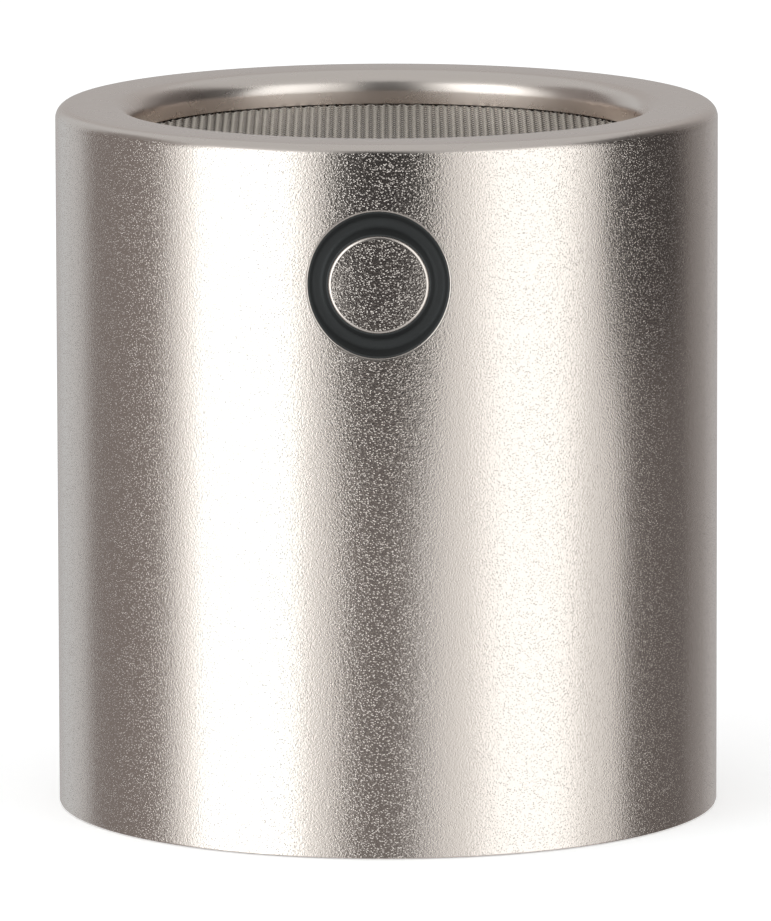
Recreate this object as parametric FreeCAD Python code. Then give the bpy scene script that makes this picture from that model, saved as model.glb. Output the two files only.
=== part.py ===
import FreeCAD, Part
import math
import os

# Condenser microphone capsule of the pressure type: a plated brass housing that screws onto a
# microphone body, with a woven grille in front and a condenser cartridge locked in from the rear.
# Millimetres. The axis is Z, the base that meets the microphone body lies at Z = 0, the grille is
# at the top, and the ring mark faces -Y.

# Housing
body_diameter = 20.0
body_height = 21.3
rim_edge_radius = 0.4     # rounded outer edge of the rim
mouth_edge_radius = 0.65  # rounded inner edge of the rim
base_edge_chamfer = 0.15
lip_depth = 1.0           # the grille lies this far below the rim
lip_width = 0.35          # the lip reaches this far in over the grille's edge

# Rear threads, drawn as their plain minor bores: the socket for the microphone body and, past
# a shoulder, the smaller thread of the lock ring
socket_wall = 1.0         # from the outside to the socket thread's major radius
thread_pitch = 0.75
thread_depth_share = 0.54127  # depth of an internal metric thread for each unit of pitch
thread_step = 0.5         # from the socket thread down to the lock ring's thread
bore_step = 0.044         # the cartridge passes through both threads with this to spare
relief_width = 0.8        # groove where a thread runs out
relief_depth = 0.1        # past the thread's major radius

# Ring mark: a groove plunged straight in from the front by a tapered ring cutter, so that its
# floor is flat while the wall is round, and lined with black enamel
mark_diameter = 4.34
mark_floor_width = 0.32
mark_depth = 0.5
mark_taper = 0.4          # each side of the groove leans out by this much of its depth
mark_drop = 4.13          # from the rim to the mark's centre
enamel_thickness = 0.05
enamel_drop = 0.18        # the enamel ends this far below the wall

# Grille cloth and what holds it
wire_diameter = 0.1
wire_pitch = 0.24
wires_per_ridge = 6       # each ridge stands for this many wires of the cloth
selvedge_width = 0.5      # soldered edge of the cloth, without gaps
screen_thickness = 0.12
grille_ring_height = 1.05
grille_ring_wall = 0.6
slide_fit = 0.05          # radial clearance of what drops into the bore

# Cartridge cap, diaphragm and air gap
cap_wall = 0.55
cap_skirt_length = 2.7    # the cap's thread reaches this far below the air gap
cap_lip_thickness = 0.47
cap_lip_width = 0.65
cap_edge_chamfer = 0.15
cap_notch_width = 1.0
cap_notch_depth = 0.3
cap_notch_count = 4
screw_fit = 0.02          # radial clearance of screwed and turned pieces
slip_washer_thickness = 0.15
tension_ring_thickness = 0.8
tension_ring_wall = 1.0
film_thickness = 0.03
spacer_thickness = 0.05
spacer_wall = 0.8

# Backplate and its insulator
backplate_thickness = 1.6
insulator_wall = 0.85
insulator_ledge_width = 1.2
insulator_ledge_thickness = 1.0
insulator_drop = 0.2      # its rim stands this far below the air gap
hole_diameter = 0.8
outer_hole_count = 12
outer_hole_margin = 1.4   # from the backplate's edge to the outer circle of holes
inner_hole_count = 6
inner_hole_circle_radius = 2.5

# Cartridge body, its rear chamber and the felt in it
neck_wall = 0.9           # wall inside the cap
rear_wall_thickness = 1.2
shoulder_width = 0.7      # ledge that carries the insulator
vent_diameter = 0.5
felt_thickness = 1.5
felt_gap = 0.75           # from the felt up to the insulator

# Terminal through the rear wall
stud_diameter = 1.6
stud_engagement = 0.8     # how far the stud is screwed into the backplate
bush_neck_diameter = 4.2
bush_flange_diameter = 7.0
bush_flange_thickness = 0.7
washer_diameter = 6.0
washer_thickness = 0.6
nut_across_flats = 3.6
nut_height = 0.9
contact_diameter = 3.6
contact_cover = 0.8       # closed end of the contact below the stud
contact_edge_radius = 0.35

# Rear gasket and lock ring
gasket_thickness = 0.5
gasket_wall = 1.6
lock_ring_height = 2.0
lock_ring_wall = 2.3
lock_ring_chamfer = 0.25
lock_ring_recess = 0.38   # from the socket's shoulder to the ring
slot_width = 1.3
slot_depth = 0.9

# Radii, worked inwards from the outside
body_radius = body_diameter / 2
thread_depth = thread_depth_share * thread_pitch
socket_radius = body_radius - socket_wall - thread_depth
socket_relief_radius = socket_radius + thread_depth + relief_depth
ring_thread_radius = socket_radius - thread_step
ring_relief_radius = ring_thread_radius + thread_depth + relief_depth
bore_radius = ring_thread_radius - bore_step
lip_radius = bore_radius - lip_width
insert_radius = bore_radius - slide_fit
lock_ring_radius = ring_thread_radius - screw_fit
lock_ring_bore = lock_ring_radius - lock_ring_wall
cap_bore = insert_radius - cap_wall
neck_radius = cap_bore - screw_fit
chamber_top_radius = neck_radius - neck_wall
chamber_radius = chamber_top_radius - shoulder_width
insulator_radius = chamber_top_radius - screw_fit
backplate_seat_radius = insulator_radius - insulator_wall
backplate_radius = backplate_seat_radius - screw_fit
stud_radius = stud_diameter / 2
stud_hole_radius = stud_radius + screw_fit
bush_hole_radius = bush_neck_diameter / 2

mark_outer_radius = mark_diameter / 2
mark_inner_radius = mark_outer_radius - mark_floor_width - 2 * mark_taper * mark_depth

# Heights, worked down from the rim
grille_top = body_height - lip_depth
grille_bottom = grille_top - 2 * wire_diameter
screen_bottom = grille_bottom - screen_thickness
cap_top = screen_bottom - grille_ring_height
slip_washer_top = cap_top - cap_lip_thickness
tension_ring_top = slip_washer_top - slip_washer_thickness
film_top = tension_ring_top - tension_ring_thickness
spacer_top = film_top - film_thickness
neck_top = spacer_top - spacer_thickness
cap_bottom = neck_top - cap_skirt_length
backplate_bottom = neck_top - backplate_thickness
shoulder_height = backplate_bottom - insulator_ledge_thickness
felt_top = shoulder_height - felt_gap
nut_top = felt_top - felt_thickness
washer_top = nut_top - nut_height
chamber_floor = washer_top - washer_thickness
cartridge_bottom = chamber_floor - rear_wall_thickness
bush_bottom = cartridge_bottom - bush_flange_thickness
lock_ring_top = cartridge_bottom - gasket_thickness
lock_ring_bottom = lock_ring_top - lock_ring_height
stud_bottom = lock_ring_bottom + contact_cover
ring_relief_bottom = cartridge_bottom - relief_width
socket_top = lock_ring_bottom - lock_ring_recess
socket_relief_bottom = socket_top - relief_width
mark_height = body_height - mark_drop

up = FreeCAD.Vector(0, 0, 1)
front = FreeCAD.Vector(0, -1, 0)
back = FreeCAD.Vector(0, 1, 0)


def at(z):
    return FreeCAD.Vector(0, 0, z)


def turned(*profile):
    """Turns a closed profile of (radius, height) points about the axis."""
    points = [FreeCAD.Vector(radius, 0, height) for radius, height in profile]
    section = Part.Face(Part.makePolygon(points + points[:1]))
    return section.revolve(at(0), up, 360)


def disc(radius, bottom, top):
    return Part.makeCylinder(radius, top - bottom, at(bottom))


def ring(outer, inner, bottom, top):
    return turned((inner, bottom), (outer, bottom), (outer, top), (inner, top))


def circles_at(shape, radius, height):
    """The circular edges of one radius that lie at one height."""
    return [
        e for e in shape.Edges
        if isinstance(e.Curve, Part.Circle)
        and abs(e.Curve.Radius - radius) < 1e-6
        and abs(e.Curve.Center.z - height) < 1e-6
    ]


def round_edge(shape, size, radius, height):
    return shape.makeFillet(size, circles_at(shape, radius, height))


def bevel_edge(shape, size, radius, height):
    return shape.makeChamfer(size, circles_at(shape, radius, height))


def round_holes(circle_radius, count, bottom, top):
    """A circle of equal holes, as the drills that cut them."""
    for k in range(count):
        turn = 2 * math.pi * k / count
        x = circle_radius * math.cos(turn)
        y = circle_radius * math.sin(turn)
        place = FreeCAD.Vector(x, y, bottom)
        yield Part.makeCylinder(hole_diameter / 2, top - bottom, place)


def ring_cutter(allowance):
    """The cutter of the mark's groove at full depth, smaller all round by an allowance."""
    middle = (mark_inner_radius + mark_outer_radius) / 2

    def side(way, depth):
        width = mark_floor_width + 2 * mark_taper * (mark_depth - depth) - 2 * allowance
        return FreeCAD.Vector(middle + way * width / 2, depth - body_radius, mark_height)

    floor = mark_depth - allowance
    above = -mark_depth
    section = [side(-1, floor), side(1, floor), side(1, above), side(-1, above)]
    face = Part.Face(Part.makePolygon(section + section[:1]))
    return face.revolve(at(mark_height), front, 360)


def housing():
    """Turned shell: rim with its lip, cartridge bore, two threaded bores and ring mark."""
    shell = turned(
        (body_radius, 0),
        (body_radius, body_height),
        (lip_radius, body_height),
        (lip_radius, grille_top),
        (bore_radius, grille_top),
        (bore_radius, cartridge_bottom),
        (ring_relief_radius, cartridge_bottom),
        (ring_relief_radius, ring_relief_bottom),
        (ring_thread_radius, ring_relief_bottom),
        (ring_thread_radius, socket_top),
        (socket_relief_radius, socket_top),
        (socket_relief_radius, socket_relief_bottom),
        (socket_radius, socket_relief_bottom),
        (socket_radius, thread_depth),
        (socket_radius + thread_depth, 0),
    )
    shell = round_edge(shell, rim_edge_radius, body_radius, body_height)
    shell = round_edge(shell, mouth_edge_radius, lip_radius, body_height)
    shell = bevel_edge(shell, base_edge_chamfer, body_radius, 0)
    return shell.cut(ring_cutter(0))


def mark_enamel():
    lining = ring_cutter(0).cut(ring_cutter(enamel_thickness))
    return lining.common(disc(body_radius - enamel_drop, 0, body_height))


def grille_cloth():
    """Wire cloth in its soldered edge: ridges one way laid over ridges the other way."""
    pitch = wire_pitch * wires_per_ridge
    width = wire_diameter * wires_per_ridge
    reach = insert_radius - selvedge_width
    over = grille_bottom + wire_diameter
    cloth = ring(insert_radius, reach, grille_bottom, grille_top)
    inside = disc(insert_radius - selvedge_width / 2, grille_bottom, grille_top)
    count = int(reach / pitch)
    for k in range(-count, count + 1):
        side = k * pitch - width / 2
        weft_corner = FreeCAD.Vector(-body_radius, side, over)
        warp_corner = FreeCAD.Vector(side, -body_radius, grille_bottom)
        weft = Part.makeBox(body_diameter, width, wire_diameter, weft_corner)
        warp = Part.makeBox(width, body_diameter, wire_diameter, warp_corner)
        cloth = cloth.fuse([weft.common(inside), warp.common(inside)])
    return cloth.removeSplitter()


def dust_screen():
    return disc(insert_radius, screen_bottom, grille_bottom)


def grille_ring():
    """Spacer that presses the cloth and the screen against the lip."""
    return ring(insert_radius, insert_radius - grille_ring_wall, cap_top, screen_bottom)


def cartridge_cap():
    """Screwed cap whose lip holds the diaphragm down, with spanner notches in its face."""
    opening = cap_bore - cap_lip_width
    cap = turned(
        (insert_radius, cap_bottom),
        (insert_radius, cap_top),
        (opening, cap_top),
        (opening, slip_washer_top),
        (cap_bore, slip_washer_top),
        (cap_bore, cap_bottom),
    )
    cap = bevel_edge(cap, cap_edge_chamfer, insert_radius, cap_top)
    for k in range(cap_notch_count):
        corner = FreeCAD.Vector(0, -cap_notch_width / 2, cap_top - cap_notch_depth)
        notch = Part.makeBox(body_radius, cap_notch_width, cap_notch_depth, corner)
        notch.rotate(at(0), up, 360 * (k + 0.5) / cap_notch_count)
        cap = cap.cut(notch)
    return cap


def slip_washer():
    """Washer that lets the cap turn without dragging the tension ring round."""
    return ring(neck_radius, neck_radius - cap_lip_width, tension_ring_top, slip_washer_top)


def tension_ring():
    return ring(neck_radius, neck_radius - tension_ring_wall, film_top, tension_ring_top)


def diaphragm_film():
    return disc(neck_radius, spacer_top, film_top)


def spacer_ring():
    """Insulating ring that sets the air gap between film and backplate."""
    return ring(neck_radius, neck_radius - spacer_wall, neck_top, spacer_top)


def backplate():
    """Fixed electrode, drilled so that the air gap opens into the rear chamber."""
    plate = disc(backplate_radius, backplate_bottom, neck_top)
    outer_circle = backplate_radius - outer_hole_margin
    drills = [
        *round_holes(outer_circle, outer_hole_count, backplate_bottom, neck_top),
        *round_holes(inner_hole_circle_radius, inner_hole_count, backplate_bottom, neck_top),
        disc(stud_hole_radius, backplate_bottom, backplate_bottom + stud_engagement),
    ]
    return plate.cut(drills)


def backplate_insulator():
    """Stepped plastic ring that carries the backplate on its ledge."""
    rim = neck_top - insulator_drop
    ledge_radius = backplate_seat_radius - insulator_ledge_width
    return turned(
        (insulator_radius, shoulder_height),
        (insulator_radius, rim),
        (backplate_seat_radius, rim),
        (backplate_seat_radius, backplate_bottom),
        (ledge_radius, backplate_bottom),
        (ledge_radius, shoulder_height),
    )


def cartridge_body():
    """Brass cup: neck inside the cap, shoulder for the insulator, and closed rear chamber."""
    cup = turned(
        (bush_hole_radius, cartridge_bottom),
        (insert_radius, cartridge_bottom),
        (insert_radius, cap_bottom),
        (neck_radius, cap_bottom),
        (neck_radius, neck_top),
        (chamber_top_radius, neck_top),
        (chamber_top_radius, shoulder_height),
        (chamber_radius, shoulder_height),
        (chamber_radius, chamber_floor),
        (bush_hole_radius, chamber_floor),
    )
    vent_height = (chamber_floor + nut_top) / 2
    return cup.cut(Part.makeCylinder(vent_diameter / 2, body_radius, at(vent_height), back))


def damping_felt():
    """Felt pad that lies on the nut and damps the rear chamber."""
    return ring(chamber_radius - slide_fit, stud_hole_radius, nut_top, felt_top)


def terminal_stud():
    """Rod from the backplate through the rear wall into the contact."""
    return disc(stud_radius, stud_bottom, backplate_bottom + stud_engagement)


def stud_bush():
    """Insulating bush whose flange lies on the cartridge's rear face."""
    neck = bush_hole_radius - screw_fit
    flange = bush_flange_diameter / 2
    return turned(
        (stud_hole_radius, bush_bottom),
        (flange, bush_bottom),
        (flange, cartridge_bottom),
        (neck, cartridge_bottom),
        (neck, chamber_floor),
        (stud_hole_radius, chamber_floor),
    )


def stud_washer():
    """Insulating washer between the nut and the rear wall."""
    return ring(washer_diameter / 2, stud_hole_radius, chamber_floor, washer_top)


def stud_nut():
    corner_radius = nut_across_flats / math.sqrt(3)
    turns = [math.radians(60 * k) for k in range(7)]
    corners = [
        FreeCAD.Vector(corner_radius * math.cos(t), corner_radius * math.sin(t), washer_top)
        for t in turns
    ]
    nut = Part.Face(Part.makePolygon(corners)).extrude(up * nut_height)
    return nut.cut(disc(stud_hole_radius, washer_top, nut_top))


def contact_button():
    """Gold-plated cap nut on the stud that the microphone body's spring pin touches."""
    button = disc(contact_diameter / 2, lock_ring_bottom, bush_bottom)
    button = round_edge(button, contact_edge_radius, contact_diameter / 2, lock_ring_bottom)
    return button.cut(disc(stud_hole_radius, stud_bottom, bush_bottom))


def rear_gasket():
    return ring(insert_radius, insert_radius - gasket_wall, lock_ring_top, cartridge_bottom)


def lock_ring():
    """Threaded ring with two spanner slots across its rear face."""
    body = ring(lock_ring_radius, lock_ring_bore, lock_ring_bottom, lock_ring_top)
    body = bevel_edge(body, lock_ring_chamfer, lock_ring_bore, lock_ring_bottom)
    corner = FreeCAD.Vector(-body_radius, -slot_width / 2, lock_ring_bottom)
    return body.cut(Part.makeBox(body_diameter, slot_width, slot_depth, corner))


pieces = {
    "housing": housing,
    "mark_enamel": mark_enamel,
    "grille_cloth": grille_cloth,
    "dust_screen": dust_screen,
    "grille_ring": grille_ring,
    "cartridge_cap": cartridge_cap,
    "slip_washer": slip_washer,
    "tension_ring": tension_ring,
    "diaphragm_film": diaphragm_film,
    "spacer_ring": spacer_ring,
    "backplate": backplate,
    "backplate_insulator": backplate_insulator,
    "cartridge_body": cartridge_body,
    "damping_felt": damping_felt,
    "terminal_stud": terminal_stud,
    "stud_bush": stud_bush,
    "stud_washer": stud_washer,
    "stud_nut": stud_nut,
    "contact_button": contact_button,
    "rear_gasket": rear_gasket,
    "lock_ring": lock_ring,
}

os.makedirs("parts", exist_ok=True)
for name, make in pieces.items():
    make().exportStep(f"parts/{name}.step")
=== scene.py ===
import math

import bmesh
import bpy
from mathutils import Matrix, Vector


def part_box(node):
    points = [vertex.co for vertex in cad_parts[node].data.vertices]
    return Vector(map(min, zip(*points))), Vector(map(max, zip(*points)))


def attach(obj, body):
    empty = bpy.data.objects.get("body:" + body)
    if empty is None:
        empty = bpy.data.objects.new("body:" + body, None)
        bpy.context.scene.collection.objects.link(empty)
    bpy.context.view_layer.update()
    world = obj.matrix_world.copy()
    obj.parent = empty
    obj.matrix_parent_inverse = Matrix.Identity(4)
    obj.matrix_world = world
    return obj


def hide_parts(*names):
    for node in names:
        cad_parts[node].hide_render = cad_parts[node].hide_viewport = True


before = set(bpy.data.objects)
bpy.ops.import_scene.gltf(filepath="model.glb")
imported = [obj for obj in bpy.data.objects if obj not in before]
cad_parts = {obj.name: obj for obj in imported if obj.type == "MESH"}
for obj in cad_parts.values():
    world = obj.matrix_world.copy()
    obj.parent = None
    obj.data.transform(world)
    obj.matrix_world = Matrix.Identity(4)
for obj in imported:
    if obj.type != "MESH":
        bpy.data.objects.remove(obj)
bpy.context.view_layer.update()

bl_info = {
    "name": "Condenser microphone capsule",
    "version": (1, 0, 0),
    "blender": (4, 5, 0),
    "location": "View3D > Sidebar > Capsule",
    "description": "Builds a screw-on condenser microphone capsule on its packed CAD frame",
    "category": "Add Mesh",
}

MM = 0.001
UP = Vector((0, 0, 1))
ROOT = "root"

# The mesh round the axis: the wall's columns, and how many of them the mark's square patch spans
COLUMNS = 256
PATCH_COLUMNS = 20
ROWS_PER_TURN = 16

# Where the photo was taken from, in degrees round the capsule from the mark. The weave is turned
# by as much, since its wires run straight away from the camera.
VIEW_AZIMUTH = 1.43
WEAVE_TURN = VIEW_AZIMUTH

# How many rings Blender's wave texture draws in a unit of length at scale 1
RINGS_PER_UNIT = 20 / (2 * math.pi)

MATERIALS = {}


def linear(hex_code):
    """Turns an sRGB hex colour into Blender's linear colour."""
    values = [int(hex_code[i:i + 2], 16) / 255 for i in (0, 2, 4)]
    return tuple(v / 12.92 if v <= 0.04045 else ((v + 0.055) / 1.055) ** 2.4 for v in values)


def low(node):
    """Height of a CAD piece's lower end."""
    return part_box(node)[0].z


def top(node):
    """Height of a CAD piece's upper end."""
    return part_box(node)[1].z


def radius_of(node):
    """Outer radius of a round CAD piece."""
    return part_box(node)[1].x


def length(name, millimetres, description):
    """A length that a user may change, given in millimetres."""
    return bpy.props.FloatProperty(
        name=name, description=description, default=millimetres * MM,
        min=0.0, precision=6, unit="LENGTH", subtype="DISTANCE",
    )


def colour(name, hex_code, description):
    """A colour that a user may change, given as an sRGB hex code."""
    return bpy.props.FloatVectorProperty(
        name=name, description=description, default=linear(hex_code),
        size=3, min=0.0, max=1.0, subtype="COLOR",
    )


class CapsuleSizes(bpy.types.PropertyGroup):
    rim_edge: length("Rim edge", 0.4, "Radius of the rim's outer edge")
    mouth_edge: length("Mouth edge", 0.65, "Radius of the rim's inner edge")
    base_edge: length("Base edge", 0.06, "Bevel of the base's outer edge")
    mouth_radius: length("Mouth radius", 7.7, "Radius of the opening over the grille")
    blast_limit: length("Blast limit", 0.22, "Where the smooth rim starts, below the rim's top")
    mark_diameter: length("Mark diameter", 4.39, "Outside of the ring mark")
    mark_floor: length("Mark floor", 0.37, "Width of the flat floor of the mark's groove")
    mark_depth: length("Mark depth", 0.5, "Depth of the mark's floor below the wall")
    mark_taper: bpy.props.FloatProperty(
        name="Mark taper", description="Lean of the groove's sides per unit of depth",
        default=0.4, min=0.0, max=1.0,
    )
    mark_drop: length("Mark drop", 4.13, "From the rim down to the mark's centre")
    mark_edge: length("Mark edge", 0.045, "Broken outer edge of the mark")
    boss_edge: length("Boss edge", 0.065, "Broken edge of the disc inside the mark")
    enamel: length("Enamel", 0.045, "Thickness of the black enamel")
    thread_pitch: length("Thread pitch", 0.75, "Pitch of the rear threads")
    thread_depth: length("Thread depth", 0.406, "Depth of the rear threads")
    relief_width: length("Relief width", 0.8, "Width of the grooves where the threads end")
    relief_depth: length("Relief depth", 0.1, "Depth of those grooves past the thread")
    thread_step: length("Thread step", 0.5, "From the socket's thread to the lock ring's thread")
    ring_recess: length("Ring recess", 0.38, "From the socket's shoulder to the lock ring")
    socket_wall: length("Socket wall", 1.0, "From the outside to the socket's thread")
    wire: length("Wire", 0.09, "Diameter of the grille's wire")
    wire_pitch: length("Wire pitch", 0.24, "Pitch of the grille's weave")


class CapsuleColours(bpy.types.PropertyGroup):
    nickel: colour("Nickel", "D4C6BD", "Nickel plate of the housing")
    enamel: colour("Enamel", "272726", "Black enamel of the ring mark")
    wire: colour("Wire", "B0A499", "Wire of the grille")
    brass: colour("Brass", "D9B872", "Bare brass of the cartridge")
    gold: colour("Gold", "E8C46A", "Gold plate of the contact")
    fluoroplastic: colour("Fluoroplastic", "E9E6E0", "White insulating bush and washers")
    amber: colour("Amber", "9C5F22", "Amber insulator of the backplate")
    film: colour("Film", "DDBB78", "Metallised diaphragm film")
    sheet: colour("Sheet", "CFC8B4", "Polyester spacer sheet")
    felt: colour("Felt", "8D8880", "Grey wool felt")
    fabric: colour("Fabric", "232323", "Dust screen fabric")
    rubber: colour("Rubber", "1A1A1A", "Rear gasket")


def add_node(tree, kind, sockets=None, **settings):
    """Adds a node; a socket is given a value, or another node's output to be linked to."""
    node = tree.nodes.new(kind)
    for key, value in settings.items():
        setattr(node, key, value)
    for key, value in (sockets or {}).items():
        if isinstance(value, bpy.types.NodeSocket):
            tree.links.new(value, node.inputs[key])
        else:
            node.inputs[key].default_value = value
    return node


def new_material(name):
    """An empty material with its output node; returns the material and its node tree."""
    material = bpy.data.materials.new(name)
    material.use_nodes = True
    material.node_tree.nodes.clear()
    return material, material.node_tree


def finish_surface(material, shader):
    """Gives a material its surface shader."""
    tree = material.node_tree
    add_node(tree, "ShaderNodeOutputMaterial", {"Surface": shader.outputs[0]})
    return material


def blasted_nickel(colours):
    """Nickel plate over bead-blasted brass: a fine grain, with sharp dents that sparkle.

    The finest beads leave marks that are too small for the render, so grain and dents are drawn
    as coarse as they need to show, at about two of its pixels.
    """
    grain = 0.06 * MM
    grain_depth = 0.0058 * MM
    dent = 0.055 * MM
    dent_depth = 0.0068 * MM
    dent_rim = 0.36
    material, tree = new_material("bead_blasted_nickel_plate")
    place = add_node(tree, "ShaderNodeTexCoord").outputs["Object"]
    waves = add_node(
        tree, "ShaderNodeTexNoise",
        {"Vector": place, "Scale": 1 / grain, "Detail": 1.0, "Roughness": 0.6},
    )
    cells = add_node(
        tree, "ShaderNodeTexVoronoi", {"Vector": place, "Scale": 1 / dent}, feature="F1",
    )
    dents = add_node(
        tree, "ShaderNodeMapRange",
        {"Value": cells.outputs["Distance"], "From Max": dent_rim, "To Min": 0.0, "To Max": 1.0},
    )
    rolling = add_node(
        tree, "ShaderNodeBump",
        {"Strength": 1.0, "Distance": grain_depth, "Height": waves.outputs["Fac"]},
    )
    pitted = add_node(
        tree, "ShaderNodeBump",
        {
            "Strength": 1.0, "Distance": dent_depth, "Height": dents.outputs[0],
            "Normal": rolling.outputs[0],
        },
    )
    shader = add_node(
        tree, "ShaderNodeBsdfPrincipled",
        {
            "Base Color": (*colours.nickel, 1), "Metallic": 1.0, "Roughness": 0.2,
            "Normal": pitted.outputs[0],
        },
    )
    return finish_surface(material, shader)


def turned_metal(name, base, roughness, spacing, line_depth):
    """A turned metal face: faint rings, and a shine that varies a little from place to place.

    The lathe's real feed is too fine for the render, so the rings are drawn as coarse as they
    need to show, at the given spacing.
    """
    cloud_size = 0.8 * MM
    unevenness = 0.15
    material, tree = new_material(name)
    place = add_node(tree, "ShaderNodeTexCoord").outputs["Object"]
    lines = add_node(
        tree, "ShaderNodeTexWave",
        {"Vector": place, "Scale": 1 / spacing / RINGS_PER_UNIT}, wave_type="RINGS", rings_direction="Z",
    )
    cloud = add_node(
        tree, "ShaderNodeTexNoise", {"Vector": place, "Scale": 1 / cloud_size, "Detail": 3.0},
    )
    bump = add_node(
        tree, "ShaderNodeBump",
        {"Strength": 1.0, "Distance": line_depth, "Height": lines.outputs["Fac"]},
    )
    shine = add_node(
        tree, "ShaderNodeMapRange",
        {
            "Value": cloud.outputs["Fac"],
            "To Min": roughness * (1 - unevenness), "To Max": roughness * (1 + unevenness),
        },
    )
    shader = add_node(
        tree, "ShaderNodeBsdfPrincipled",
        {
            "Base Color": (*base, 1), "Metallic": 1.0,
            "Roughness": shine.outputs[0], "Normal": bump.outputs[0],
        },
    )
    return finish_surface(material, shader)


def satin_nickel(colours):
    """Nickel plate over a finely turned rim: smooth and satin, with faint rings."""
    return turned_metal("satin_turned_nickel_plate", colours.nickel, 0.28, 0.754 * MM, 0.00008 * MM)


def bare_brass(colours):
    """Unplated turned brass of the cartridge: yellow, with rings that catch the light."""
    return turned_metal("turned_brass", colours.brass, 0.3, 0.503 * MM, 0.0015 * MM)


def gold_plate(colours):
    """Gold plate over a polished contact: bright, with the closest rings."""
    return turned_metal("gold_plated_brass", colours.gold, 0.18, 0.251 * MM, 0.0004 * MM)


def metallised_film(colours):
    """Film with a layer of metal on it: a smooth gold mirror."""
    return turned_metal("gold_metallised_film", colours.film, 0.12, 3.14 * MM, 0.0001 * MM)


def wire_metal(colours):
    """Drawn bright wire: smooth metal with slight streaks from one wire to the next."""
    streak_size = 0.12 * MM
    material, tree = new_material("drawn_steel_wire")
    place = add_node(tree, "ShaderNodeTexCoord").outputs["Object"]
    streak = add_node(
        tree, "ShaderNodeTexNoise", {"Vector": place, "Scale": 1 / streak_size, "Detail": 2.0},
    )
    shine = add_node(
        tree, "ShaderNodeMapRange",
        {"Value": streak.outputs["Fac"], "To Min": 0.14, "To Max": 0.26},
    )
    shader = add_node(
        tree, "ShaderNodeBsdfPrincipled",
        {"Base Color": (*colours.wire, 1), "Metallic": 1.0, "Roughness": shine.outputs[0]},
    )
    return finish_surface(material, shader)


def speckled(name, base, other, grain, roughness, depth):
    """A dull material of two near colours in grains of one size, with a bump to match."""
    material, tree = new_material(name)
    place = add_node(tree, "ShaderNodeTexCoord").outputs["Object"]
    grains = add_node(
        tree, "ShaderNodeTexNoise", {"Vector": place, "Scale": 1 / grain, "Detail": 4.0},
    )
    tint = add_node(
        tree, "ShaderNodeMix",
        {"Factor": grains.outputs["Fac"], "A": (*base, 1), "B": (*other, 1)},
        data_type="RGBA",
    )
    bump = add_node(
        tree, "ShaderNodeBump",
        {"Strength": 1.0, "Distance": depth, "Height": grains.outputs["Fac"]},
    )
    shader = add_node(
        tree, "ShaderNodeBsdfPrincipled",
        {
            "Base Color": tint.outputs["Result"], "Roughness": roughness,
            "Normal": bump.outputs[0],
        },
    )
    return finish_surface(material, shader)


def shade(base, factor):
    """The same colour, darker by a factor."""
    return tuple(channel * factor for channel in base)


def make_materials(colours):
    """Each finish once, by the name that the pieces ask for."""
    return {
        "blasted": blasted_nickel(colours),
        "satin": satin_nickel(colours),
        "brass": bare_brass(colours),
        "gold": gold_plate(colours),
        "wire": wire_metal(colours),
        "film": metallised_film(colours),
        # Baked enamel: black, with the low gloss of a thick coat
        "enamel": speckled(
            "black_baked_enamel", colours.enamel, shade(colours.enamel, 0.8),
            0.25 * MM, 0.6, 0.004 * MM,
        ),
        # Turned fluoroplastic: white and waxy
        "fluoroplastic": speckled(
            "turned_white_fluoroplastic", colours.fluoroplastic,
            shade(colours.fluoroplastic, 0.92), 0.3 * MM, 0.45, 0.003 * MM,
        ),
        # Turned insulating plastic: amber, clouded and somewhat glossy
        "amber": speckled(
            "turned_amber_plastic", colours.amber, shade(colours.amber, 0.7),
            0.6 * MM, 0.3, 0.002 * MM,
        ),
        # Polyester sheet: pale, milky and smooth
        "sheet": speckled(
            "polyester_sheet", colours.sheet, shade(colours.sheet, 0.95),
            1.0 * MM, 0.2, 0.0005 * MM,
        ),
        # Pressed wool: grey, with a matt face of fibres
        "felt": speckled(
            "pressed_wool_felt", colours.felt, shade(colours.felt, 0.55),
            0.12 * MM, 0.95, 0.05 * MM,
        ),
        # Woven silk: black and matt
        "fabric": speckled(
            "black_silk_screen", colours.fabric, shade(colours.fabric, 0.5),
            0.06 * MM, 0.8, 0.01 * MM,
        ),
        # Moulded rubber: black, with a dull sheen
        "rubber": speckled(
            "moulded_black_rubber", colours.rubber, shade(colours.rubber, 0.7),
            0.2 * MM, 0.6, 0.003 * MM,
        ),
    }


def finish_material(key):
    """The finished material of one kind, made with the rest when it is first asked for."""
    if not MATERIALS:
        MATERIALS.update(make_materials(bpy.context.scene.capsule_colours))
    return MATERIALS[key]


def turn(bm, profile, steps=COLUMNS):
    """Spins a profile of (radius, height) points once round the axis, starting at the front."""
    verts = [bm.verts.new((0, -radius, height)) for radius, height in profile]
    edges = [bm.edges.new(pair) for pair in zip(verts, verts[1:])]
    bmesh.ops.spin(
        bm, geom=verts + edges, cent=(0, 0, 0), axis=UP, dvec=(0, 0, 0),
        angle=2 * math.pi, steps=steps, use_merge=True,
    )


def on_circle(vert, radius, height):
    """Whether a vertex lies on the circle round the axis with this radius and height."""
    near = 1e-6
    return abs(vert.co.xy.length - radius) < near and abs(vert.co.z - height) < near


def circle_edges(bm, radius, height):
    """The edges of one circle round the axis."""
    return [e for e in bm.edges if all(on_circle(v, radius, height) for v in e.verts)]


def soften(bm, width, radius, height, segments=4):
    """Rounds the circular edge of one radius and height."""
    bmesh.ops.bevel(
        bm, geom=circle_edges(bm, radius, height), offset=width, offset_type="OFFSET",
        segments=segments, profile=0.5, affect="EDGES", material=-1, clamp_overlap=True,
    )


def sharpen(mesh, degrees=35):
    """Smooth faces, with the edges sharper than this left crisp."""
    mesh.shade_smooth()
    mesh.set_sharp_from_angle(angle=math.radians(degrees))


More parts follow.
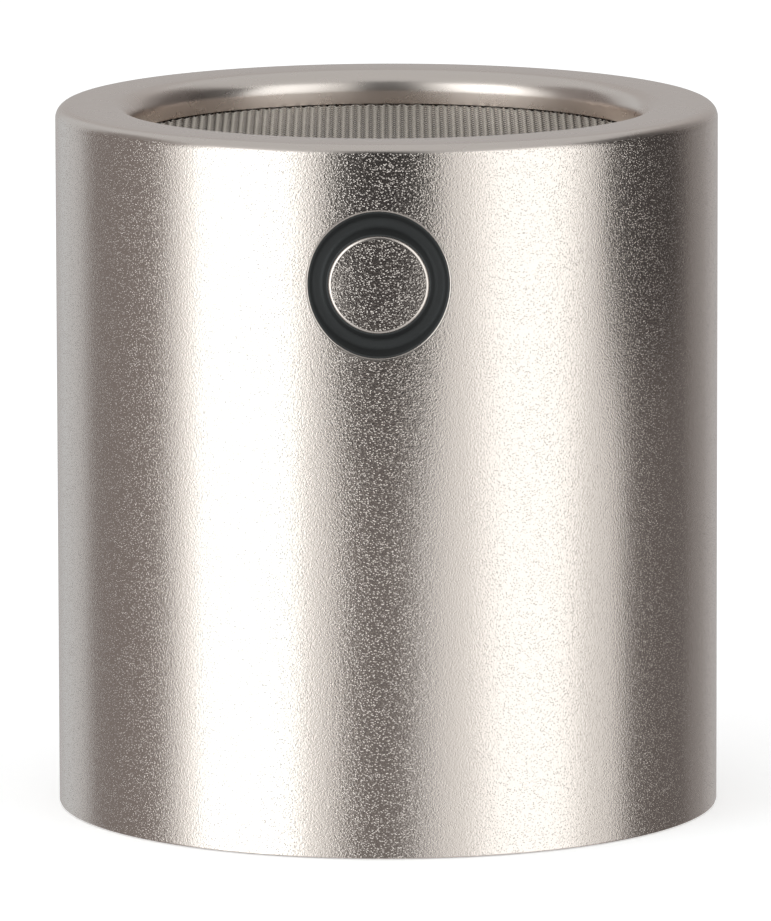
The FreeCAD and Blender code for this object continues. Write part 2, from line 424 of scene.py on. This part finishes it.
def as_piece(bm, name, node, slot, *finishes):
    """Makes the object from its mesh with its finishes, hangs it under the root and hides the CAD piece
    that it replaces.
    """
    bmesh.ops.recalc_face_normals(bm, faces=bm.faces)
    mesh = bpy.data.meshes.new(name)
    bm.to_mesh(mesh)
    bm.free()
    sharpen(mesh)
    for finish in finishes:
        mesh.materials.append(finish_material(finish))
    piece = bpy.data.objects.new(name, mesh)
    bpy.context.scene.collection.objects.link(piece)
    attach(piece, ROOT)
    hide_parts(node)
    return piece


class Mark:
    """The ring mark's groove, plunged in from the front by a tapered ring cutter."""

    def __init__(self, sizes):
        self.wall = radius_of("housing")
        self.centre = top("housing") - sizes.mark_drop
        self.depth = sizes.mark_depth
        self.taper = sizes.mark_taper
        self.floor_outer = sizes.mark_diameter / 2 - self.taper * self.depth
        self.floor_inner = self.floor_outer - sizes.mark_floor

    def angle(self, vert):
        """Where a vertex lies round the mark's axis, in radians."""
        return math.atan2(vert.co.z - self.centre, vert.co.x)

    def sink(self, x):
        """How far the round wall lies behind its front line at this x."""
        return self.wall - math.sqrt(self.wall ** 2 - x ** 2)

    def side(self, turn_angle, outward, below=0.0, inset=0.0):
        """Radius and height above the floor of a point on a side of the groove."""
        floor = self.floor_outer if outward > 0 else self.floor_inner
        radius = floor
        rounds_to_settle = 8
        for _ in range(rounds_to_settle):
            height = self.depth - self.sink(radius * math.cos(turn_angle)) - below
            radius = floor + outward * self.taper * height
        return radius - outward * inset, height

    def put(self, vert, radius, height=None):
        """Places a vertex at a radius from the mark's axis: on the wall, or over the floor."""
        turn_angle = self.angle(vert)
        x = radius * math.cos(turn_angle)
        level = self.wall - self.sink(x) if height is None else self.wall - self.depth + height
        vert.co = Vector((x, -level, self.centre + radius * math.sin(turn_angle)))


def inner_loop(bm, edges, place):
    """Extrudes a closed loop of edges and puts each new vertex where place says."""
    made = bmesh.ops.extrude_edge_only(bm, edges=edges)["geom"]
    for vert in (g for g in made if isinstance(g, bmesh.types.BMVert)):
        place(vert)
    new_verts = {g for g in made if isinstance(g, bmesh.types.BMVert)}
    return [
        g for g in made
        if isinstance(g, bmesh.types.BMEdge) and all(v in new_verts for v in g.verts)
    ]


def bevel_loop(bm, edges, width, segments=3, finish=-1):
    """Rounds a loop of edges, and gives the new faces a finish of their own when one is named."""
    bmesh.ops.bevel(
        bm, geom=edges, offset=width, offset_type="OFFSET", segments=segments,
        profile=0.5, affect="EDGES", material=finish, clamp_overlap=True,
    )


def circle_on_wall(bm, mark, radius, count):
    """A circle of edges round the mark's axis, laid on the wall."""
    stand = Matrix.Translation((0, 0, mark.centre)) @ Matrix.Rotation(math.pi / 2, 4, "X")
    made = bmesh.ops.create_circle(bm, cap_ends=False, radius=radius, segments=count, matrix=stand)
    for vert in made["verts"]:
        mark.put(vert, radius)
    ring = set(made["verts"])
    return [e for e in bm.edges if all(v in ring for v in e.verts)]


def cut_mark(bm, sizes):
    """Replaces a square of the wall by a round patch that holds the mark's groove and boss."""
    mark = Mark(sizes)
    half_angle = math.pi * PATCH_COLUMNS / COLUMNS
    half_height = mark.wall * half_angle
    slack = 0.01
    inside = [
        f for f in bm.faces
        if f.calc_center_median().y < 0
        and abs(math.asin(f.calc_center_median().x / mark.wall)) < half_angle
        and abs(f.calc_center_median().z - mark.centre) < half_height
        and f.calc_center_median().xy.length > mark.wall * (1 - slack)
    ]
    bmesh.ops.delete(bm, geom=inside, context="FACES")
    border = [
        e for e in bm.edges
        if e.is_boundary and abs(e.verts[0].co.z - mark.centre) < half_height * (1 + slack)
    ]
    margin = 0.1 * MM
    start = circle_on_wall(bm, mark, sizes.mark_diameter / 2 + margin, len(border))
    bridge = bmesh.ops.bridge_loops(bm, edges=border + start)["edges"]
    cut = bmesh.ops.subdivide_edges(bm, edges=bridge, cuts=2, use_grid_fill=True)["geom_inner"]
    for vert in (g for g in cut if isinstance(g, bmesh.types.BMVert)):
        on_wall = vert.co.xy.normalized() * mark.wall
        vert.co = Vector((on_wall.x, on_wall.y, vert.co.z))

    def edge(way, further=0.0):
        return lambda v: mark.put(v, mark.side(mark.angle(v), way)[0] + further)

    def floor(radius):
        return lambda v: mark.put(v, radius, 0.0)

    outer_edge = inner_loop(bm, start, edge(1))
    floor_outer = inner_loop(bm, outer_edge, floor(mark.floor_outer))
    floor_inner = inner_loop(bm, floor_outer, floor(mark.floor_inner))
    boss_edge = inner_loop(bm, floor_inner, edge(-1))
    loop = inner_loop(bm, boss_edge, edge(-1, -2 * sizes.boss_edge))
    for share in (0.75, 0.5, 0.25):
        loop = inner_loop(bm, loop, lambda v, r=share * mark.floor_inner: mark.put(v, r))
    cap = bmesh.ops.contextual_create(bm, geom=loop)["faces"]
    centre = bmesh.ops.poke(bm, faces=cap)["verts"]
    for vert in centre:
        vert.co.y = -mark.wall
    bevel_loop(bm, outer_edge, sizes.mark_edge, finish=1)
    bevel_loop(bm, boss_edge, sizes.boss_edge, finish=1)


def thread_rows(sizes, radius, start, end):
    """Profile points up a bore, close enough together for its thread to be cut into them."""
    count = round((end - start) / sizes.thread_pitch * ROWS_PER_TURN)
    return [(radius, start + (end - start) * k / count) for k in range(count + 1)]


def thread_share(phase):
    """Depth of a metric thread at a phase of its pitch: 0 on the crest, 1 at the root."""
    crest, flank = 1 / 4, 5 / 16
    return max(0.0, min(1.0, (phase - crest) / flank, (1 - phase) / flank))


def cut_thread(bm, sizes, radius, start, end):
    """Cuts a helical thread into a bore, opening out towards the relief groove at its top."""
    pitch = sizes.thread_pitch
    runout = 0.15 * MM
    near = 0.001 * MM
    for vert in bm.verts:
        z = vert.co.z
        if start - near < z < end + near and abs(vert.co.xy.length - radius) < near:
            turn_angle = math.atan2(vert.co.x, -vert.co.y)
            share = thread_share((z / pitch - turn_angle / (2 * math.pi)) % 1)
            open_share = max(0.0, 1 - (end - z) / runout)
            lead_share = max(0.0, 1 - (z - start) / sizes.thread_depth)
            share = max(share, open_share, lead_share)
            vert.co.xy *= (radius + share * sizes.thread_depth) / radius


def radial_normals(mesh, wall):
    """Gives the wall and the boss the true normals of a cylinder."""
    near = 0.0005 * MM
    outward = 0.3
    normals = []
    for polygon in mesh.polygons:
        for index in polygon.loop_indices:
            loop = mesh.loops[index]
            place = mesh.vertices[loop.vertex_index].co
            out = Vector((place.x, place.y, 0)).normalized()
            if abs(place.xy.length - wall) < near and polygon.normal.dot(out) > outward:
                normals.append(out)
            else:
                normals.append(mesh.corner_normals[index].vector.copy())
    mesh.normals_split_custom_set(normals)


class CAPSULE_OT_housing(bpy.types.Operator):
    """Turn the housing: rim, wall with the ring mark, bores and the threaded rear socket"""

    bl_idname = "capsule.housing"
    bl_label = "Housing"

    def execute(self, context):
        sizes = context.scene.capsule_sizes
        wall = radius_of("housing")
        rim = top("housing")
        mark = Mark(sizes)
        half = wall * math.pi * PATCH_COLUMNS / COLUMNS
        patch_row = 2 * half / PATCH_COLUMNS
        patch_rows = [mark.centre - half + patch_row * k for k in range(PATCH_COLUMNS + 1)]
        lower_row = 3 * MM
        lower_rows = [lower_row * k for k in range(5)]
        socket_major = wall - sizes.socket_wall
        socket_minor = socket_major - sizes.thread_depth
        relief = socket_major + sizes.relief_depth
        ring_minor = socket_minor - sizes.thread_step
        ring_relief = ring_minor + sizes.thread_depth + sizes.relief_depth
        cloth_clearance = 0.05 * MM
        bore = radius_of("grille_cloth") + cloth_clearance
        shoulder = low("lock_ring") - sizes.ring_recess
        relief_low = shoulder - sizes.relief_width
        cartridge = low("cartridge_body")
        ring_relief_low = cartridge - sizes.relief_width
        grille = top("grille_cloth")

        bm = bmesh.new()
        outside = [(wall, z) for z in lower_rows + patch_rows]
        outside += [(wall, rim), (sizes.mouth_radius, rim)]
        inside = [
            (sizes.mouth_radius, grille), (bore, grille), (bore, cartridge),
            (ring_relief, cartridge), (ring_relief, ring_relief_low),
        ]
        ring_rows = thread_rows(sizes, ring_minor, shoulder, ring_relief_low)
        socket_rows = thread_rows(sizes, socket_minor, 0.0, relief_low)
        inside += ring_rows[::-1] + [(relief, shoulder), (relief, relief_low)] + socket_rows[::-1]
        turn(bm, outside + inside + outside[:1])
        bmesh.ops.remove_doubles(bm, verts=bm.verts, dist=0.0001 * MM)
        cut_thread(bm, sizes, socket_minor, 0.0, relief_low)
        cut_thread(bm, sizes, ring_minor, shoulder, ring_relief_low)
        soften(bm, sizes.rim_edge, wall, rim, 10)
        soften(bm, sizes.mouth_edge, sizes.mouth_radius, rim, 8)
        soften(bm, sizes.base_edge, wall, 0.0, 2)
        limit = rim - sizes.blast_limit
        for face in bm.faces:
            centre = face.calc_center_median()
            outer = centre.xy.length > wall - sizes.rim_edge and centre.z > sizes.base_edge / 2
            face.material_index = 0 if outer and centre.z < limit else 1
        cut_mark(bm, sizes)
        piece = as_piece(bm, "turned_housing", "housing", "nickel_plated_brass", "blasted", "satin")
        radial_normals(piece.data, wall)
        return {"FINISHED"}


class CAPSULE_OT_enamel(bpy.types.Operator):
    """Line the groove of the ring mark with black enamel"""

    bl_idname = "capsule.enamel"
    bl_label = "Ring mark enamel"

    def execute(self, context):
        sizes = context.scene.capsule_sizes
        mark = Mark(sizes)
        coat = sizes.enamel
        below = sizes.mark_edge
        pool = 2 * coat
        rooted = -0.2 * coat
        face = 0.8 * coat
        lip = 0.6 * below
        count = 8 * PATCH_COLUMNS
        bm = bmesh.new()

        def side(way, depth, inset):
            return lambda v: mark.put(v, *mark.side(mark.angle(v), way, depth, inset))

        start = circle_on_wall(bm, mark, mark.floor_outer, count)
        for vert in {v for e in start for v in e.verts}:
            side(1, below, rooted)(vert)
        steps = [
            side(1, below + lip, face),
            lambda v: mark.put(v, mark.floor_outer - coat, coat),
            lambda v: mark.put(v, mark.floor_inner + coat, coat),
            side(-1, sizes.boss_edge + lip, face),
            side(-1, sizes.boss_edge, rooted),
            lambda v: mark.put(v, mark.floor_inner + rooted, rooted),
            lambda v: mark.put(v, mark.floor_outer - rooted, rooted),
        ]
        loops = [start]
        for place in steps:
            loops.append(inner_loop(bm, loops[-1], place))
        bmesh.ops.bridge_loops(bm, edges=loops[-1] + start)
        bevel_loop(bm, loops[2] + loops[3], pool, 5)
        as_piece(bm, "mark_enamel_lining", "mark_enamel", "black_enamel", "enamel")
        return {"FINISHED"}


def woven_wires(name, along_x, sizes):
    """One set of the cloth's wires, each waving over and under the wires that cross it."""
    pitch = sizes.wire_pitch
    crimp = sizes.wire / 2
    middle = (low("grille_cloth") + top("grille_cloth")) / 2
    reach = radius_of("grille_cloth") - sizes.wire
    points_per_crossing = 3
    step = pitch / points_per_crossing
    curve = bpy.data.curves.new(name, "CURVE")
    curve.dimensions = "3D"
    curve.bevel_depth = sizes.wire / 2
    curve.bevel_resolution = 1
    curve.use_fill_caps = True
    count = int(reach / pitch)
    for k in range(-count, count + 1):
        across = k * pitch
        half = int(math.sqrt(reach ** 2 - across ** 2) / step)
        if half < points_per_crossing:
            continue
        spline = curve.splines.new("POLY")
        spline.points.add(2 * half)
        over = crimp if (k % 2 == 0) == along_x else -crimp
        for i, point in enumerate(spline.points):
            along = (i - half) * step
            height = middle + over * math.cos(math.pi * along / pitch)
            point.co = (along, across, height, 1) if along_x else (across, along, height, 1)
    holder = bpy.data.objects.new(name, curve)
    mesh = bpy.data.meshes.new_from_object(holder)
    bpy.data.objects.remove(holder)
    bpy.data.curves.remove(curve)
    bm = bmesh.new()
    bm.from_mesh(mesh)
    bpy.data.meshes.remove(mesh)
    return bm


class CAPSULE_OT_grille(bpy.types.Operator):
    """Weave the grille's wire cloth from warp and weft wires"""

    bl_idname = "capsule.grille"
    bl_label = "Grille cloth"

    def execute(self, context):
        sizes = context.scene.capsule_sizes
        for name, along_x in (("grille_weft_wires", True), ("grille_warp_wires", False)):
            bm = woven_wires(name, along_x, sizes)
            turned = Matrix.Rotation(math.radians(WEAVE_TURN), 3, "Z")
            bmesh.ops.rotate(bm, verts=bm.verts, cent=(0, 0, 0), matrix=turned)
            as_piece(bm, name, "grille_cloth", "steel_wire_cloth", "wire")
        return {"FINISHED"}


def slot_cutter(width, depth, bottom, reach):
    """The bar whose space becomes a slot straight across a ring's lower face."""
    box = bmesh.new()
    across = Matrix.Diagonal((2 * reach, width, 2 * depth, 1))
    bmesh.ops.create_cube(box, size=1, matrix=Matrix.Translation((0, 0, bottom)) @ across)
    return box


class CAPSULE_OT_rear_end(bpy.types.Operator):
    """Make what shows in the rear socket: lock ring, bush and contact"""

    bl_idname = "capsule.rear_end"
    bl_label = "Rear end"

    def execute(self, context):
        self.lock_ring()
        self.bush()
        self.contact()
        return {"FINISHED"}

    def lock_ring(self):
        """The threaded ring that holds the cartridge, with its two spanner slots."""
        bottom, head = low("lock_ring"), top("lock_ring")
        outer = radius_of("lock_ring")
        ring_width = 2.3 * MM
        bore = outer - ring_width
        edge = 0.1 * MM
        lead_in = 0.25 * MM
        slot_width = 1.3 * MM
        slot_depth = 0.9 * MM
        bm = bmesh.new()
        turn(bm, [(outer, bottom), (outer, head), (bore, head), (bore, bottom), (outer, bottom)])
        bmesh.ops.remove_doubles(bm, verts=bm.verts, dist=edge / 100)
        soften(bm, lead_in, bore, bottom, 3)
        soften(bm, edge, outer, bottom, 3)
        piece = as_piece(bm, "slotted_lock_ring", "lock_ring", "nickel_plated_ring", "satin")
        box = slot_cutter(slot_width, slot_depth, bottom, 2 * outer)
        mesh = bpy.data.meshes.new("slot_cutter")
        box.to_mesh(mesh)
        box.free()
        cutter = bpy.data.objects.new("slot_cutter", mesh)
        bpy.context.scene.collection.objects.link(cutter)
        cut = piece.modifiers.new("spanner slots", "BOOLEAN")
        cut.operation = "DIFFERENCE"
        cut.solver = "EXACT"
        cut.object = cutter
        bpy.context.view_layer.update()
        graph = bpy.context.evaluated_depsgraph_get()
        done = bpy.data.meshes.new_from_object(piece.evaluated_get(graph))
        piece.modifiers.clear()
        old = piece.data
        piece.data = done
        bpy.data.meshes.remove(old)
        bpy.data.objects.remove(cutter)
        bpy.data.meshes.remove(mesh)
        sharpen(piece.data)

    def bush(self):
        """The insulating bush: a flange under the rear wall and a neck through it."""
        bottom, flange = low("stud_bush"), radius_of("stud_bush")
        seat, head = low("cartridge_body"), top("stud_bush")
        neck = 2.08 * MM
        hole = 0.82 * MM
        edge = 0.12 * MM
        bm = bmesh.new()
        turn(
            bm,
            [(hole, bottom), (flange, bottom), (flange, seat), (neck, seat), (neck, head),
             (hole, head), (hole, bottom)],
        )
        bmesh.ops.remove_doubles(bm, verts=bm.verts, dist=edge / 100)
        soften(bm, edge, flange, bottom, 4)
        as_piece(bm, "flanged_bush", "stud_bush", "fluoroplastic", "fluoroplastic")

    def contact(self):
        """The gold contact, domed at its lower edge."""
        bottom, head = low("contact_button"), top("contact_button")
        outer = 1.8 * MM
        dome = 0.35 * MM
        core = 0.4 * MM
        bm = bmesh.new()
        turn(bm, [(core, bottom), (outer, bottom), (outer, head), (core, head)])
        for height in (bottom, head):
            bmesh.ops.contextual_create(bm, geom=circle_edges(bm, core, height))
        soften(bm, dome, outer, bottom, 8)
        as_piece(bm, "domed_contact", "contact_button", "gold_plated_brass", "gold")


INNER_FINISHES = {
    "dust_screen": "fabric",
    "grille_ring": "brass",
    "cartridge_cap": "brass",
    "slip_washer": "fluoroplastic",
    "tension_ring": "brass",
    "diaphragm_film": "film",
    "spacer_ring": "sheet",
    "backplate": "brass",
    "backplate_insulator": "amber",
    "cartridge_body": "brass",
    "damping_felt": "felt",
    "terminal_stud": "brass",
    "stud_washer": "fluoroplastic",
    "stud_nut": "brass",
    "rear_gasket": "rubber",
}


class CAPSULE_OT_cartridge(bpy.types.Operator):
    """Finish the pieces of the cartridge inside the housing"""

    bl_idname = "capsule.cartridge"
    bl_label = "Cartridge"

    def execute(self, context):
        for name, finish in INNER_FINISHES.items():
            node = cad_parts[name]
            node.data.materials.clear()
            node.data.materials.append(finish_material(finish))
        return {"FINISHED"}


def around(azimuth, distance, height):
    """A place at an angle round the capsule, counted from the mark's side towards +X."""
    turn_angle = math.radians(azimuth)
    return Vector((distance * math.sin(turn_angle), -distance * math.cos(turn_angle), height))


def facing(place, target):
    """The turn that points a lamp or camera from its place at a target."""
    return (target - place).to_track_quat("-Z", "Y")


class CAPSULE_OT_studio(bpy.types.Operator):
    """Set up the floor, the white surroundings, softboxes, cards and the camera"""

    bl_idname = "capsule.studio"
    bl_label = "Studio"

    def execute(self, context):
        self.camera(context.scene)
        self.world(context.scene)
        self.floor()
        self.lamps()
        self.tent()
        self.cards()
        context.scene.view_settings.view_transform = "Standard"
        return {"FINISHED"}

    def camera(self, scene):
        """The camera as fitted to the photo: its ellipses, its outline and the mark."""
        azimuth = VIEW_AZIMUTH
        elevation = math.radians(9.04)
        distance = 351.4 * MM
        roll = math.radians(-0.13)
        aside = -0.055 * MM
        height = 10.37 * MM
        focal_length = 452.9
        target = aside * around(azimuth + 90, 1.0, 0) + height * UP
        level = distance * math.cos(elevation)
        place = target + around(azimuth, level, distance * math.sin(elevation))
        data = bpy.data.cameras.new("photo_camera")
        data.sensor_width = 36
        data.lens = focal_length
        data.clip_start = 10 * MM
        data.clip_end = 20
        camera = bpy.data.objects.new("photo_camera", data)
        camera.location = place
        camera.rotation_mode = "QUATERNION"
        rolled = Matrix.Rotation(roll, 3, "Z").to_quaternion()
        camera.rotation_quaternion = facing(place, target) @ rolled
        scene.collection.objects.link(camera)
        scene.camera = camera

    def world(self, scene):
        """White where the camera, metal or glass looks; a plain level lights dull surfaces."""
        dull_level = 0.8
        world = bpy.data.worlds.new("white_studio")
        world.use_nodes = True
        tree = world.node_tree
        tree.nodes.clear()
        path = add_node(tree, "ShaderNodeLightPath")
        seen = add_node(
            tree, "ShaderNodeMath",
            {0: path.outputs["Is Camera Ray"], 1: path.outputs["Is Glossy Ray"]},
            operation="ADD",
        )
        seen = add_node(
            tree, "ShaderNodeMath", {0: seen.outputs[0], 1: path.outputs["Is Transmission Ray"]},
            operation="ADD", use_clamp=True,
        )
        level = add_node(
            tree, "ShaderNodeMapRange",
            {"Value": seen.outputs[0], "To Min": dull_level, "To Max": 1.0},
        )
        background = add_node(
            tree, "ShaderNodeBackground", {"Color": (1, 1, 1, 1), "Strength": level.outputs[0]},
        )
        add_node(tree, "ShaderNodeOutputWorld", {"Surface": background.outputs[0]})
        scene.world = world

    def tent(self):
        """A grey tent round it all, which only the metal sees."""
        tent_radius = 0.9
        cool_grey = (0.67, 0.72, 0.745, 1)
        bm = bmesh.new()
        bmesh.ops.create_uvsphere(bm, u_segments=32, v_segments=16, radius=tent_radius)
        self.paper(bm, "tent", cool_grey, 1.0)

    def paper(self, bm, name, tint, radiance):
        """A glowing paper that is seen by reflection only."""
        mesh = bpy.data.meshes.new(name)
        bm.to_mesh(mesh)
        bm.free()
        material, tree = new_material(name + "_paper")
        glow = add_node(tree, "ShaderNodeEmission", {"Color": tint, "Strength": radiance})
        mesh.materials.append(finish_surface(material, glow))
        paper = bpy.data.objects.new(name, mesh)
        bpy.context.scene.collection.objects.link(paper)
        for kind in ("camera", "diffuse", "transmission", "volume_scatter", "shadow"):
            setattr(paper, "visible_" + kind, False)

    def floor(self):
        """A white table that shows the capsule's soft shadow, open to the light from below."""
        half_floor = 3.0
        gap = 0.02 * MM
        lift_level = 0.25
        bm = bmesh.new()
        below_base = Matrix.Translation((0, 0, -gap))
        bmesh.ops.create_grid(
            bm, x_segments=8, y_segments=8, size=half_floor, matrix=below_base,
        )
        mesh = bpy.data.meshes.new("floor")
        bm.to_mesh(mesh)
        bm.free()
        material, tree = new_material("white_table")
        path = add_node(tree, "ShaderNodeLightPath")
        geometry = add_node(tree, "ShaderNodeNewGeometry")
        paint = add_node(tree, "ShaderNodeBsdfDiffuse", {"Color": (1, 1, 1, 1)})
        lift = add_node(
            tree, "ShaderNodeMath", {0: path.outputs["Is Camera Ray"], 1: lift_level},
            operation="MULTIPLY",
        )
        glow = add_node(
            tree, "ShaderNodeEmission", {"Color": (1, 1, 1, 1), "Strength": lift.outputs[0]},
        )
        lit = add_node(tree, "ShaderNodeAddShader", {0: paint.outputs[0], 1: glow.outputs[0]})
        clear = add_node(tree, "ShaderNodeBsdfTransparent")
        surface = add_node(
            tree, "ShaderNodeMixShader",
            {0: geometry.outputs["Backfacing"], 1: lit.outputs[0], 2: clear.outputs[0]},
        )
        mesh.materials.append(finish_surface(material, surface))
        floor = bpy.data.objects.new("floor", mesh)
        bpy.context.scene.collection.objects.link(floor)
        floor.visible_glossy = False
        floor.visible_diffuse = False
        floor.visible_shadow = False

    def lamps(self):
        """Two tall softboxes, one at each side of the camera.

        Each has its direction in degrees, its width, its height and how bright it is.
        """
        distance = 300 * MM
        middle = 60 * MM
        daylight = (0.85, 0.95, 1.0)
        boxes = (
            ("left_softbox", -50, 205 * MM, 480 * MM, 1.5),
            ("right_softbox", 50, 190 * MM, 480 * MM, 0.85),
        )
        for name, azimuth, width, height, radiance in boxes:
            data = bpy.data.lights.new(name, "AREA")
            data.shape = "RECTANGLE"
            data.size = width
            data.size_y = height
            data.energy = math.pi * width * height * radiance
            data.color = daylight
            lamp = bpy.data.objects.new(name, data)
            lamp.location = around(VIEW_AZIMUTH + azimuth, distance, middle)
            lamp.rotation_mode = "QUATERNION"
            lamp.rotation_quaternion = facing(lamp.location, middle * UP)
            lamp.visible_camera = False
            bpy.context.scene.collection.objects.link(lamp)

    def cards(self):
        """Bright and dark cards that only the metal sees, as reflections in its round wall.

        Each has its direction and half its width in degrees, its distance and the heights of
        its ends in millimetres, how bright it is and its tint.
        """
        warm = (1.0, 0.95, 0.94, 1)
        white = (1.0, 1.0, 1.0, 1)
        cool = (0.92, 0.985, 1.0, 1)
        cards = (
            ("left_glow", -46.5, 34, 400, -240, 400, 1.1, cool),
            ("right_glow", 52.5, 35.5, 400, -240, 400, 1.1, cool),
            ("front_card", -3.5, 12.5, 250, -250, 150, 0.17, warm),
            ("near_front_card", -1.5, 17, 45, 9, 90, 0.01, warm),
            ("left_card", -103.5, 24.5, 420, -400, 400, 0.25, warm),
            ("right_card", 109, 21, 420, -400, 400, 0.145, warm),
            ("right_edge_card", 138, 8, 420, -400, 400, 0.32, white),
            ("back_card", 174, 28, 420, -400, 300, 0.52, white),
            ("near_right_card", 92, 20, 45, 9, 60, 0.05, warm),
        )
        for name, azimuth, half_angle, distance, bottom, head, radiance, tint in cards:
            self.card(
                name, VIEW_AZIMUTH + azimuth, half_angle, distance * MM, bottom * MM, head * MM,
                radiance, tint,
            )

    def card(self, name, azimuth, half_angle, distance, bottom, head, radiance, tint):
        """A card bent round the capsule's axis."""
        bm = bmesh.new()
        start = around(azimuth - half_angle, distance, bottom)
        verts = [bm.verts.new(start), bm.verts.new(start + (head - bottom) * UP)]
        edge = bm.edges.new(verts)
        bmesh.ops.spin(
            bm, geom=verts + [edge], cent=(0, 0, 0), axis=UP, dvec=(0, 0, 0),
            angle=math.radians(2 * half_angle), steps=24, use_merge=False,
        )
        self.paper(bm, name, tint, radiance)


class CAPSULE_PT_panel(bpy.types.Panel):
    """Lists the capsule's pieces and its studio"""

    bl_idname = "CAPSULE_PT_panel"
    bl_label = "Condenser capsule"
    bl_space_type = "VIEW_3D"
    bl_region_type = "UI"
    bl_category = "Capsule"

    def draw(self, context):
        for operator in OPERATORS:
            self.layout.operator(operator.bl_idname)


OPERATORS = (
    CAPSULE_OT_housing,
    CAPSULE_OT_enamel,
    CAPSULE_OT_grille,
    CAPSULE_OT_rear_end,
    CAPSULE_OT_cartridge,
    CAPSULE_OT_studio,
)
CLASSES = (CapsuleSizes, CapsuleColours, *OPERATORS, CAPSULE_PT_panel)


def register():
    for item in CLASSES:
        bpy.utils.register_class(item)
    bpy.types.Scene.capsule_sizes = bpy.props.PointerProperty(type=CapsuleSizes)
    bpy.types.Scene.capsule_colours = bpy.props.PointerProperty(type=CapsuleColours)


def unregister():
    del bpy.types.Scene.capsule_colours
    del bpy.types.Scene.capsule_sizes
    for item in reversed(CLASSES):
        bpy.utils.unregister_class(item)


def main():
    register()
    for operator in OPERATORS:
        group, name = operator.bl_idname.split(".")
        getattr(getattr(bpy.ops, group), name)()


if __name__ == "__main__":
    main()
